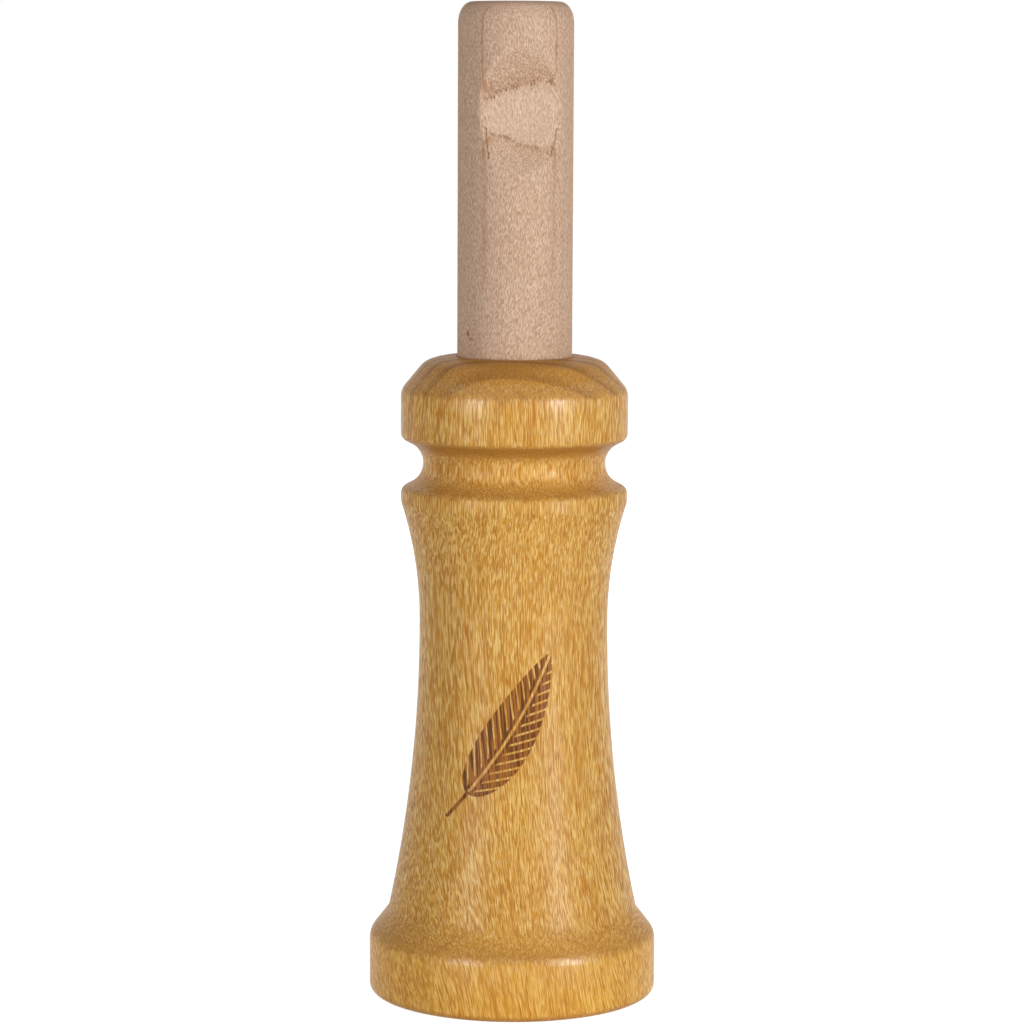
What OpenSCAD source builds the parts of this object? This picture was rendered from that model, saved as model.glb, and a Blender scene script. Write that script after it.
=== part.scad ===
// A turned wooden bird call. It stands bell down on its base, with the origin at the
// middle of the base, +Z up through the mouthpiece and +Y towards the back.
// Lengths are in millimetres and angles in degrees.

/* [Barrel] */
// Height of the turned barrel
barrel_len = 88.9; // [84:0.1:100]
// Radius of the base flange
base_r = 19.9; // [18.8:0.1:23]
// Height of the base flange's upright rim
base_rim_h = 8.35; // [6:0.05:11]
// Height of the slope between the rim and the foot of the waist
base_step_h = 3.4; // [2.5:0.05:5]
// Radius at the foot of the waist
foot_r = 17.28; // [16.6:0.02:18.2]
// Radius of the waist at its narrowest
waist_r = 13.02; // [12:0.02:14]
// Length of the narrowest stretch, which is a plain cylinder
waist_flat_h = 0.8; // [0.3:0.1:6]
// Height of the sweep from the waist up to the lip
neck_sweep_h = 16.35; // [12:0.05:20]
// Height of the lip under the cove
lip_h = 1.9; // [1.2:0.05:3]

/* [Collar] */
// Radius of the collar and of the lip
collar_r = 15.62; // [15:0.02:17]
// Height of the collar's upright wall
collar_h = 6.6; // [4:0.05:9]
// Height of the shoulder between the collar's wall and the barrel's top
shoulder_h = 4.7; // [4:0.05:6]
// Width of the shoulder, from the collar's wall in to the domed top
shoulder_w = 3.22; // [2.4:0.02:4]
// How far the domed top falls towards the shoulder
crown_drop = 0.8; // [0.3:0.05:1.4]
// Height of the cove from the lip to the collar
cove_h = 6.95; // [6.4:0.05:9]
// Depth of the cove's root, where a lanyard's loop is drawn tight, under the collar's wall
cove_depth = 3.07; // [2.4:0.01:3.8]
// Radius of the gouge that cut the cove
cove_arc_r = 3.1; // [2.6:0.05:3.3]

/* [Bores] */
// Radius of the sound bore
sound_bore_r = 6.35; // [5.6:0.01:6.8]
// Depth of the socket that takes the mouthpiece
socket_depth = 25; // [24:0.1:30]
// Radial clearance of the mouthpiece in its socket
socket_clearance = 0.05; // [0.02:0.01:0.1]
// Radius of the bell's mouth
bell_r = 15; // [13:0.1:16.2]
// Depth of the bell's flare
bell_depth = 26; // [18:0.5:34]

/* [Mouthpiece] */
// Radius of the dowel that the mouthpiece is made from
dowel_r = 7.9; // [7.7:0.02:8.4]
// Length of the mouthpiece above the barrel
mouth_len = 48.2; // [44:0.1:60]
// Rounding of the edge at the mouth end, measured inwards
mouth_round_r = 1.92; // [0.6:0.02:2]
// Rounding of the edge at the mouth end, measured down the side
mouth_round_h = 2.88; // [0.6:0.02:3.6]
// Distance from the mouth end to the middle of the lip notch
notch_from_end = 14.8; // [12:0.1:18]
// Depth of the lip notch at its middle
notch_depth = 2.22; // [1:0.02:2.6]
// Radius of the drum that cut the lip notch
notch_drum_r = 17; // [12:0.1:22]

/* [Airway] */
// Width of the airway between the two halves
airway_w = 9.6; // [9:0.05:10.4]
// Depth of the airway in the front half
lip_channel_h = 2.6; // [2.2:0.05:3]
// Slope of the reed's bed
bed_slope = 2.4; // [2.2:0.05:3]
// Radius of the sound trough and of the exhaust bore
trough_r = 2.5; // [2:0.05:2.6]
// Wood left between the exhaust bore and the face of the tone board
trough_cover = 0.6; // [0.5:0.05:0.8]
// Length of the bed that is left whole under the reed's tip
tip_rail = 3; // [2:0.1:5]

/* [Reed] */
// Thickness of the reed
reed_t = 0.35; // [0.25:0.01:0.45]
// Length of the reed
reed_len = 33; // [28:0.5:36]
// Clearance between each long edge of the reed and the airway
reed_side_gap = 0.3; // [0.2:0.05:0.6]
// Rounding of the corners at the reed's tip
reed_corner_r = 2; // [0.5:0.1:3.5]
// Length of the reed that the wedge holds down
clamp_len = 4; // [3:0.1:4.4]
// Clearance on each side of the clamped reed
clamp_gap = 0.1; // [0.09:0.01:0.15]

/* [Wedge] */
// Distance from the mouthpiece's inner end to the wedge
wedge_from_seat = 20.1; // [19.5:0.1:24]
// Length of the wedge
wedge_len = 7; // [6:0.1:9]
// How much longer the wedge is at the reed than at the channel's floor
wedge_slant = 1.2; // [0.5:0.1:2]

/* [Pegs and rings] */
// Radius of the locating pegs
peg_r = 0.8; // [0.6:0.05:0.95]
// Length of the locating pegs
peg_len = 6.4; // [4:0.1:7]
// Distance between the pegs' axes
peg_spacing = 10.4; // [9.6:0.1:11]
// Radial clearance of the pegs in their holes
peg_clearance = 0.02; // [0.01:0.01:0.05]
// Radius of the rubber rings' section
ring_section_r = 0.6; // [0.4:0.02:0.65]
// Clearance between a ring and its groove
groove_clearance = 0.05; // [0.02:0.01:0.1]
// Distance from the mouthpiece's inner end to the lower ring
lower_ring_from_seat = 5.1; // [3:0.1:6]
// Distance from the lower ring to the upper ring
ring_spacing = 9; // [7:0.1:10]

/* [Hidden] */
$fn = 96;
// Number of steps in a rounded corner, and in a long curve
corner_steps = 8;
curve_steps = 18;
crown_steps = 5;
mouth_steps = 10;
// One overrun for every cut
overrun = 1;

// Edge roundings of the barrel
socket_edge = 0.4;
crown_edge = 3;
shoulder_edge = 2.4;
collar_edge = 1.1;
neck_edge = 2.4;
rim_shoulder = 2.6;
base_edge = 1.2;
bell_edge = 0.6;
// Rounding of the mouthpiece's inner end
seat_edge = 0.4;
// Half of the arc that the gouge sweeps in the cove
cove_half_angle = 62;
// How much of a wall a rounding may take: next to a sharp end, and next to another rounding
sharp_end_share = 0.95;
round_end_share = 0.48;
// Room past each end of the pegs
peg_end_gap = 0.1;
// Distance past the clamp at which the trough breaks through the bed
trough_lead = 0.4;

// Heights on the barrel
step_top_z = base_rim_h + base_step_h;
collar_top_z = barrel_len - shoulder_h;
collar_low_z = collar_top_z - collar_h;
cove_z = collar_low_z - cove_h / 2;
lip_top_z = collar_low_z - cove_h;
lip_low_z = lip_top_z - lip_h;
waist_top_z = lip_low_z - neck_sweep_h;
waist_low_z = waist_top_z - waist_flat_h;
seat_z = barrel_len - socket_depth;
socket_r = dowel_r + socket_clearance;
crown_start_r = socket_r + socket_edge;
crown_r = collar_r - shoulder_w;
cove_root_r = collar_r - cove_depth;

// Heights on the mouthpiece
mouth_z = barrel_len + mouth_len;
notch_z = mouth_z - notch_from_end;
notch_drum_y = notch_depth - dowel_r - notch_drum_r;
wedge_z = seat_z + wedge_from_seat;
clamp_top_z = wedge_z + wedge_len;
heel_z = clamp_top_z - clamp_len;
tip_z = heel_z + reed_len;
reed_w = airway_w - 2 * reed_side_gap;

// The bed leaves the reed at the clamp's edge and runs level from the tip to the mouth
bed_depth = (tip_z - clamp_top_z) * tan(bed_slope);
exhaust_y = trough_r + trough_cover;
trough_end_z = tip_z - tip_rail;
trough_end_y = (trough_end_z - clamp_top_z) * tan(bed_slope) - trough_r;
trough_tilt = atan((exhaust_y - trough_end_y) / (trough_end_z - clamp_top_z));

// Pegs, rings and their grooves
peg_z = seat_z + lower_ring_from_seat + ring_spacing / 2;
lower_ring_z = seat_z + lower_ring_from_seat;
upper_ring_z = lower_ring_z + ring_spacing;
ring_r = dowel_r - ring_section_r;
groove_r = ring_r - ring_section_r - groove_clearance;
groove_w = 2 * (ring_section_r + groove_clearance);

// An angle brought between -180 and 180
function wrapped(angle) = angle - 360 * round(angle / 360);

// Points of the arc that rounds the corner `at` and takes no more than `room` of the walls
// beside it, or the corner itself where there is none
function corner(before, at, after, wanted, room) =
    wanted == 0 ? [at] :
    let (u = (before - at) / norm(before - at),
         v = (after - at) / norm(after - at),
         half = acos(u * v) / 2,
         rounding = min(wanted, room * tan(half)),
         centre = at + (u + v) / norm(u + v) * rounding / sin(half),
         first = at + u * rounding / tan(half) - centre,
         last = at + v * rounding / tan(half) - centre,
         start = atan2(first.y, first.x),
         sweep = wrapped(atan2(last.y, last.x) - start))
    [for (i = [0 : corner_steps])
        let (angle = start + sweep * i / corner_steps)
        centre + rounding * [cos(angle), sin(angle)]];

function flat_point(c) = [c[0], c[1]];

// How much of the wall from corner `here` to corner `other` a rounding at `here` may take
function wall_room(here, other) =
    norm(flat_point(other) - flat_point(here)) * (other[2] == 0 ? sharp_end_share : round_end_share);

// An outline through corners [r, z, rounding], whose first and last stay sharp
function rounded(corners) =
    let (n = len(corners) - 1)
    [for (i = [0 : n])
        each i == 0 || i == n ? [flat_point(corners[i])]
            : corner(flat_point(corners[i - 1]), flat_point(corners[i]),
                     flat_point(corners[i + 1]), corners[i][2],
                     min(wall_room(corners[i], corners[i - 1]), wall_room(corners[i], corners[i + 1])))];

// Corners along the arc that leaves the upright at [r0, z0] and ends at [r1, z1]
function sweep_arc(r0, z0, r1, z1) =
    let (rise = z1 - z0,
         spread = r1 - r0,
         radius = (rise * rise + spread * spread) / (2 * spread),
         whole = asin(rise / radius))
    [for (i = [0 : curve_steps])
        let (angle = whole * i / curve_steps)
        [r0 + radius * (1 - cos(angle)), z0 + radius * sin(angle), 0]];

function reversed(list) = [for (i = [len(list) - 1 : -1 : 0]) list[i]];
function without_last(list) = [for (i = [0 : len(list) - 2]) list[i]];

// The dome from the socket's edge out to the shoulder
crown = [for (i = [0 : crown_steps])
    let (share = i / crown_steps)
    [crown_start_r + (crown_r - crown_start_r) * share, barrel_len - crown_drop * share * share, 0]];

// The gouge's arc in the cove, from the top down
cove = [for (i = [0 : curve_steps])
    let (angle = cove_half_angle * (1 - 2 * i / curve_steps))
    [cove_root_r + cove_arc_r * (1 - cos(angle)), cove_z + cove_arc_r * sin(angle), 0]];

// The barrel's section: up the socket, over the top, down the outside and up the bell
barrel_section = rounded(concat(
    [[sound_bore_r, seat_z, 0],
     [socket_r, seat_z, 0],
     [socket_r, barrel_len, socket_edge]],
    [for (i = [1 : crown_steps - 2]) crown[i]],
    [[crown_r, barrel_len - crown_drop, crown_edge],
     [collar_r, collar_top_z, shoulder_edge],
     [collar_r, collar_low_z, collar_edge]],
    cove,
    [[collar_r, lip_top_z, collar_edge],
     [collar_r, lip_low_z, neck_edge]],
    reversed(without_last(sweep_arc(waist_r, waist_top_z, collar_r, lip_low_z))),
    sweep_arc(waist_r, waist_low_z, foot_r, step_top_z),
    [[base_r, base_rim_h, rim_shoulder],
     [base_r, 0, base_edge],
     [bell_r, 0, bell_edge]],
    reversed(without_last(sweep_arc(sound_bore_r, bell_depth, bell_r, 0)))));

module barrel() {
    color("peru")
    rotate_extrude() polygon(barrel_section);
}

// An outline in the Y-Z plane, extruded along X about the middle
module across(outline, width) {
    rotate([90, 0, 90])
        linear_extrude(width, center = true)
            polygon(outline);
}

// The quarter oval that rounds the mouth end, from the side up to the end face
mouth_edge = [for (i = [0 : mouth_steps])
    let (angle = 90 * i / mouth_steps)
    [dowel_r - mouth_round_r * (1 - cos(angle)), mouth_z - mouth_round_h * (1 - sin(angle))]];

// The whole dowel with its rounded mouth end
module dowel() {
    rotate_extrude()
        polygon(concat(rounded([[0, seat_z, 0], [dowel_r, seat_z, seat_edge],
                                [dowel_r, mouth_z - 2 * mouth_round_h, 0]]),
                       mouth_edge, [[0, mouth_z]]));
}

// One half of the dowel: side is 1 for the back and -1 for the front
module dowel_half(side) {
    reach = dowel_r + overrun;
    difference() {
        intersection() {
            dowel();
            translate([-reach, side > 0 ? 0 : -reach, seat_z - overrun])
                cube([2 * reach, reach, mouth_z - seat_z + 2 * overrun]);
        }
        ring_groove(lower_ring_z);
        ring_groove(upper_ring_z);
        peg_pair(peg_r + peg_clearance, peg_len + 2 * peg_end_gap);
    }
}

module ring_groove(z) {
    rotate_extrude()
        translate([groove_r, z - groove_w / 2])
            square([dowel_r - groove_r + overrun, groove_w]);
}

module peg_pair(radius, length) {
    for (side = [-1, 1])
        translate([side * peg_spacing / 2, 0, peg_z])
            rotate([90, 0, 0])
                cylinder(h = length, r = radius, center = true);
}

module tone_board() {
    color("burlywood")
    difference() {
        dowel_half(1);
        across([[-overrun, clamp_top_z], [0, clamp_top_z], [bed_depth, tip_z],
                [bed_depth, mouth_z + overrun], [-overrun, mouth_z + overrun]], airway_w);
        translate([0, exhaust_y, seat_z - overrun])
            cylinder(h = clamp_top_z - seat_z + overrun, r = trough_r);
        trough();
    }
}

// The tilted trough, open to the bed above the clamp and shallower towards the tip
module trough() {
    length = (trough_end_z - clamp_top_z) / cos(trough_tilt);
    open_from = exhaust_y * tan(trough_tilt) + trough_lead;
    translate([0, exhaust_y, clamp_top_z])
        rotate([trough_tilt, 0, 0]) {
            translate([0, 0, -trough_r]) cylinder(h = length + trough_r, r = trough_r);
            translate([-trough_r, -dowel_r, open_from])
                cube([2 * trough_r, dowel_r, length - open_from]);
        }
}

module lip_cap() {
    color("wheat")
    difference() {
        dowel_half(-1);
        translate([-airway_w / 2, -lip_channel_h, wedge_z])
            cube([airway_w, lip_channel_h + overrun, mouth_z - wedge_z + overrun]);
        lip_notch();
    }
}

// The notch that a drum cut across the front of the dowel, for the lip to rest in
module lip_notch() {
    translate([0, notch_drum_y, notch_z])
        rotate([0, 90, 0])
            cylinder(h = 2 * (dowel_r + overrun), r = notch_drum_r, center = true);
}

module reed() {
    color("ivory")
    translate([0, -clamp_gap, heel_z])
        rotate([90, 0, 0])
            linear_extrude(reed_t)
                reed_outline();
}

module reed_outline() {
    straight = reed_len - reed_corner_r;
    between = reed_w - 2 * reed_corner_r;
    translate([-reed_w / 2, 0]) square([reed_w, straight]);
    translate([-between / 2, 0]) square([between, reed_len]);
    for (side = [-1, 1])
        translate([side * between / 2, straight]) circle(r = reed_corner_r);
}

// The wedge holds the reed down and its heel stops the reed from sliding back
module reed_wedge() {
    over_reed = -(reed_t + 2 * clamp_gap);
    color("tan")
    across([[-lip_channel_h, wedge_z],
            [0, wedge_z],
            [0, heel_z - clamp_gap],
            [over_reed, heel_z - clamp_gap],
            [over_reed, clamp_top_z],
            [-lip_channel_h, clamp_top_z - wedge_slant]], airway_w);
}

module locating_pegs() {
    color("sienna") peg_pair(peg_r, peg_len);
}

module o_ring(z) {
    color("dimgray")
    translate([0, 0, z])
        rotate_extrude()
            translate([ring_r, 0]) circle(r = ring_section_r);
}

module upper_o_ring() {
    o_ring(upper_ring_z);
}

module lower_o_ring() {
    o_ring(lower_ring_z);
}

barrel();
tone_board();
lip_cap();
reed();
reed_wedge();
locating_pegs();
upper_o_ring();
lower_o_ring();
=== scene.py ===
"""The looks of a turned wooden bird call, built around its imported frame.

The barrel is turned again from the frame's own section, the front half of the mouthpiece is carved
with its worn lip notch, and every piece gets a procedural finish. Lengths are in metres, but for
the patterns and the small carved shapes, which are worked out in millimetres.
"""

import logging
import math
from collections.abc import Callable
from dataclasses import dataclass, field
from enum import Enum

import bmesh
import bpy
from mathutils import Matrix, Vector, noise


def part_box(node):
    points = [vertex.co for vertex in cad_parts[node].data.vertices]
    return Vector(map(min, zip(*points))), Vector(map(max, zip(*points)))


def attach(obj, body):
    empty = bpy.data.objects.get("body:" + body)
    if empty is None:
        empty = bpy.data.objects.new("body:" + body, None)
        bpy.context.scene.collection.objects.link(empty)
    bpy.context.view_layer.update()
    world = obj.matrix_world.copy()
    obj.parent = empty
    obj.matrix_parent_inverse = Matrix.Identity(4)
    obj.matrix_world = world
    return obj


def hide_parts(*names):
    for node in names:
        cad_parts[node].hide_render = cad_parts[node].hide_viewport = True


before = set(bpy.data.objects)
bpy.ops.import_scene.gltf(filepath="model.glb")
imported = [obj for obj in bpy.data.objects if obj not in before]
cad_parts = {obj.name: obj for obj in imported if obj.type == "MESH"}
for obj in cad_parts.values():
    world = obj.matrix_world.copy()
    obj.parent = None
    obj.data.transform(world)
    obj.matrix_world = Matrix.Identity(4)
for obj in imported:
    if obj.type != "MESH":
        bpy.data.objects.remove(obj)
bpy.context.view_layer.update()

MM = 0.001
VIEW_TURN = math.radians(-6.5)  # the photograph looks at the notch a little from its left
log = logging.getLogger("bird_call")

Colour = tuple[float, float, float]
Point = tuple[float, float, float]
Line = tuple[tuple[float, float], ...]  # the places (x, height) that a line runs through
Step = tuple[float, float]  # where a soft step starts and where it is full
Zone = tuple[float, float, float, float]  # where a soft band starts, is full, fades and ends
Marks = tuple[float, float, float]  # how torn; how burnished with a painted sheen, or below 0 in painted shade; how split
MARK_NAMES = ("torn", "burnish_painted_light", "slit")
UNMARKED: Marks = (0.0, 0.0, 0.0)
Values = dict | None
Piece = bpy.types.Object
Material = bpy.types.Material


class Light(Enum):
    """The lamps of the studio, each with its place round the call."""

    KEY = "key"
    FILL = "fill"
    BACK = "back"


def math_method(operation: str, turned: bool = False) -> Callable[..., "Wire"]:
    """Makes a method of Wire that adds a Math node.

    Args:
        operation: The node's operation.
        turned: Whether the wire comes last, as in 1 - wire.

    Returns:
        The method, which takes the node's other values.
    """

    def method(self: "Wire", *others: "Wire | float") -> "Wire":
        """Returns the node's result."""
        values = (*others, self) if turned else (self, *others)
        return self.bench.maths(operation, *values)

    return method


@dataclass(frozen=True, eq=False)
class Wire:
    """One output socket of a bench's tree, used in Python expressions on single values."""

    bench: "Bench"
    socket: bpy.types.NodeSocket

    __add__ = __radd__ = math_method("ADD")
    __sub__ = math_method("SUBTRACT")
    __rsub__ = math_method("SUBTRACT", turned=True)
    __mul__ = __rmul__ = math_method("MULTIPLY")
    __truediv__ = math_method("DIVIDE")
    __pow__ = math_method("POWER")
    __abs__ = math_method("ABSOLUTE")
    floor = math_method("FLOOR")
    part = math_method("FRACT")
    least = math_method("MINIMUM")
    most = math_method("MAXIMUM")

    def __neg__(self) -> "Wire":
        """Returns the value with its sign turned."""
        return self * -1.0

    def rise(self, low: float, high: float) -> "Wire":
        """Returns a smooth step from 0 at low to 1 at high.

        Args:
            low: The value at which the step starts.
            high: The value at which it ends, which may lie below low for a falling step.

        Returns:
            The step, between 0 and 1.
        """
        if high < low:
            return 1.0 - self.rise(high, low)
        inputs = {"Value": self, "From Min": low, "From Max": high}
        return self.bench.node("ShaderNodeMapRange", {"interpolation_type": "SMOOTHSTEP"}, inputs)

    def band(self, zone: Zone) -> "Wire":
        """Returns 1 inside a zone and 0 outside it, with soft ends."""
        return self.rise(zone[0], zone[1]) * self.rise(zone[3], zone[2])


@dataclass(frozen=True, eq=False)
class Bench:
    """A shader tree or a geometry tree, and the few ways in which it grows."""

    tree: bpy.types.NodeTree

    def node(
        self, kind: str, settings: Values = None, inputs: Values = None, output: int | str = 0
    ) -> Wire:
        """Adds any node.

        Args:
            kind: The node's type.
            settings: Its own settings, which are set first.
            inputs: Values or wires by the input's name or number.
            output: The name or number of the output to return.

        Returns:
            The chosen output.
        """
        made = self.tree.nodes.new(kind)
        for name, value in (settings or {}).items():
            setattr(made, name, value)
        for key, value in (inputs or {}).items():
            if isinstance(value, Wire):
                self.tree.links.new(value.socket, made.inputs[key])
            else:
                made.inputs[key].default_value = value
        return Wire(self, made.outputs[output])

    def finish(self, kind: str, result: Wire) -> None:
        """Adds the tree's output node and links the result to it."""
        end = self.tree.nodes.new(kind)
        self.tree.links.new(result.socket, end.inputs[0])

    def maths(self, operation: str, *values: Wire | float) -> Wire:
        """Adds a Math node on one or two values."""
        return self.node("ShaderNodeMath", {"operation": operation}, dict(enumerate(values)))

    def vector(self, operation: str, *values: Wire | Point) -> Wire:
        """Adds a Vector Math node on one or two vectors."""
        setting = {"operation": operation}
        return self.node("ShaderNodeVectorMath", setting, dict(enumerate(values)))

    def split(self, place: Wire) -> tuple[Wire, Wire, Wire]:
        """Returns a vector's three numbers."""
        first = self.node("ShaderNodeSeparateXYZ", None, {0: place})
        owner = first.socket.node
        return first, Wire(self, owner.outputs[1]), Wire(self, owner.outputs[2])

    def join(self, x: Wire | float, y: Wire | float, z: Wire | float) -> Wire:
        """Returns a vector from its three numbers."""
        return self.node("ShaderNodeCombineXYZ", None, {0: x, 1: y, 2: z})

    def place_mm(self) -> Wire:
        """Returns the Object coordinates in millimetres."""
        here = self.node("ShaderNodeTexCoord", output="Object")
        return self.vector("MULTIPLY", here, (1 / MM, 1 / MM, 1 / MM))

    def mark(self, name: str) -> Wire:
        """Returns one of the piece's own attributes."""
        return self.node("ShaderNodeAttribute", {"attribute_name": name}, output="Fac")

    def upward(self) -> Wire:
        """Returns how far the surface faces up or down, from 0 on a wall to 1 on a level face."""
        facing = self.node("ShaderNodeTexCoord", output="Normal")
        return abs(self.split(facing)[2])

    def grain(
        self,
        place: Wire,
        across: float,
        along: float,
        seed: float = 0.0,
        detail: float = 0.0,
        deep: float | None = None,
    ) -> Wire:
        """Adds noise drawn out along Z, as fibres are.

        Args:
            place: Where to read it, in millimetres.
            across: The width of one fibre, in millimetres.
            along: The length of one fibre, in millimetres.
            seed: A shift that makes one pattern unlike another.
            detail: How many finer layers are added.
            deep: The depth of one fibre from front to back, or its width if left out.

        Returns:
            The noise, about 0.5 on average.
        """
        drawn = self.vector("MULTIPLY", place, (1 / across, 1 / (deep or across), 1 / along))
        moved = self.vector("ADD", drawn, (seed, seed * 0.37, seed * 0.71))
        inputs = {"Vector": moved, "Scale": 1.0, "Detail": detail, "Roughness": 0.55}
        return self.node("ShaderNodeTexNoise", None, inputs)

    def blend(
        self, amount: Wire | float, under: Wire | Colour, over: Wire | Colour, way: str = "MIX"
    ) -> Wire:
        """Lays one colour over another.

        Args:
            amount: How much of the upper colour shows.
            under: The lower colour.
            over: The upper colour.
            way: The Mix node's blend type.

        Returns:
            The mixed colour.
        """
        low, high = (c if isinstance(c, Wire) else (*c, 1.0) for c in (under, over))
        settings = {"data_type": "RGBA", "blend_type": way}
        return self.node("ShaderNodeMix", settings, {0: amount, 6: low, 7: high}, output=2)

    def layers(self, under: Wire | Colour, *overs: tuple[Wire | float, Wire | Colour]) -> Wire:
        """Lays several colours over one, in order.

        Args:
            under: The lowest colour.
            overs: How much of each next colour shows, and that colour.

        Returns:
            The mixed colour.
        """
        for amount, over in overs:
            under = self.blend(amount, under, over)
        return under


def new_material(name: str) -> tuple[Material, Bench]:
    """Returns an empty material and its bench."""
    material = bpy.data.materials.new(name)
    material.use_nodes = True
    material.node_tree.nodes.clear()
    return material, Bench(material.node_tree)


Paint = tuple[dict[str, Wire | float], Wire, float]


@dataclass(frozen=True)
class Finish:
    """What every finish shares: one surface shader with a fine relief, its depth in metres."""

    name: str

    def paint(self, bench: Bench) -> Paint:
        """Returns the shader's inputs, the relief and its full depth."""
        raise NotImplementedError

    def build(self) -> Material:
        """Builds the material.

        Returns:
            The finished material.
        """
        material, bench = new_material(self.name)
        inputs, height, depth = self.paint(bench)
        bump = {"Strength": 1.0, "Distance": depth, "Height": height}
        inputs["Normal"] = bench.node("ShaderNodeBump", None, bump)
        surface = bench.node("ShaderNodeBsdfPrincipled", None, inputs)
        bench.finish("ShaderNodeOutputMaterial", surface)
        return material


@dataclass(frozen=True)
class BurntFeather:
    """A plain feather burnt into the barrel's front. Sizes are in millimetres.

    The feather is worked out on the barrel's unrolled surface: across from the quill and along it.
    """

    centre_z: float = 39.5
    unroll_r: float = 13.3
    tilt: float = math.radians(38)
    length: float = 22.0
    half_width: float = 3.6
    curve: float = 0.006
    quill_length: float = 4.5
    quill_half: float = 0.22
    shaft_half: float = 0.16
    barb_pitch: float = 1.55
    barb_rise: float = 1.15
    barb_gap: Zone = (0.2, 0.28, 0.95, 1.0)
    barbs_from: Step = (0.75, 0.6)
    quill_end: Step = (0.5, 0.2)
    share_power: float = 0.72
    swell_power: float = 0.62
    front: Step = (-2.0, -4.0)
    softness: float = 0.07

    def mask(self, bench: Bench, place: Wire) -> Wire:
        """Draws the feather.

        Args:
            bench: The bench of the barrel's material.
            place: Object coordinates in millimetres.

        Returns:
            1 where the wood is burnt and 0 elsewhere, with soft edges.
        """
        x, y, z = bench.split(place)
        around = (bench.maths("ARCTAN2", x, -y) - VIEW_TURN) * self.unroll_r
        up = z - self.centre_z
        cos, sin = math.cos(self.tilt), math.sin(self.tilt)
        along = up * cos + around * sin + self.length / 2
        bend = along * along * self.curve
        across = around * cos - up * sin + bend - self.length**2 * self.curve / 3
        side = abs(across)
        soft = self.softness
        share = (along / self.length).most(0.001).least(0.999)
        swell = bench.maths("SINE", share**self.share_power * math.pi) ** self.swell_power
        vane = (swell * self.half_width - side).rise(0.0, soft * 2)
        inside = along.band((0.0, soft, self.length - soft, self.length))
        barb = ((along - side * self.barb_rise) / self.barb_pitch).part()
        slit = barb.band(self.barb_gap).most(side.rise(*self.barbs_from))
        shaft = side.rise(self.shaft_half, self.shaft_half + soft)
        quill = side.rise(self.quill_half + soft, self.quill_half)
        quill = quill * along.rise(-self.quill_length, -self.quill_length + soft)
        quill = quill * along.rise(*self.quill_end)
        return (vane * inside * slit * shaft).most(quill) * y.rise(*self.front)


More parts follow.
